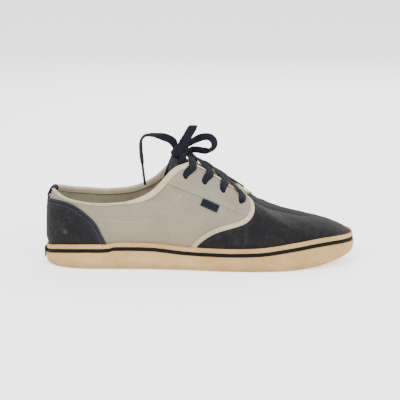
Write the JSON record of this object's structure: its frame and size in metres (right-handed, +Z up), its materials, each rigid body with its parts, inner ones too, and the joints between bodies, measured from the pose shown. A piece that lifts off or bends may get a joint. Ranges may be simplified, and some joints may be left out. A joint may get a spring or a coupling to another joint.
{
  "type": "skateboarding shoe",
  "caption": "Right low-top skate shoe with canvas quarters, black suede toe and heel counter, cream rubber cup sole with a black stripe, and flat laces tied in a bow",
  "frame": {"origin": "middle of the shoe's footprint on the floor", "axes": "+X to the toe, +Y to the inner side of the foot, +Z up"},
  "size_m": [0.2994, 0.1059, 0.1334],
  "materials": {
    "sidewall": "aged cream rubber, dull",
    "stripe": "black rubber foxing stripe",
    "badge": "grey-blue moulded rubber",
    "lining": "worn beige cotton lining",
    "canvas": "grey-beige plain weave canvas",
    "suede": "black suede, worn and dusty",
    "edging": "navy woven edging tape",
    "tape": "cream cotton binding tape",
    "tongue": "dark canvas",
    "label": "navy woven label, bare",
    "lace": "flat woven black-navy lace",
    "aglet": "dark plastic tip"
  },
  "bodies": {
    "root": {"cup_sole": "sidewall", "sole_stripe": "stripe", "heel_badge": "badge", "insole": "lining", "upper": "canvas", "heel_counter": "suede", "counter_tape": "edging", "quarter_tape_outer": "tape", "quarter_tape_inner": "tape", "eyestay_outer": "canvas", "eyestay_inner": "canvas", "collar_binding": "tape", "tongue": "tongue", "side_label": "label", "heel_label": "label", "lace_crossings": "lace", "lace_knot": "lace", "lace_loop_standing": "lace", "lace_loop_ring": "lace", "lace_end_hanging": "lace", "lace_end_inner": "lace", "aglet_hanging": "aglet", "aglet_inner": "aglet"}
  },
  "joints": []
}
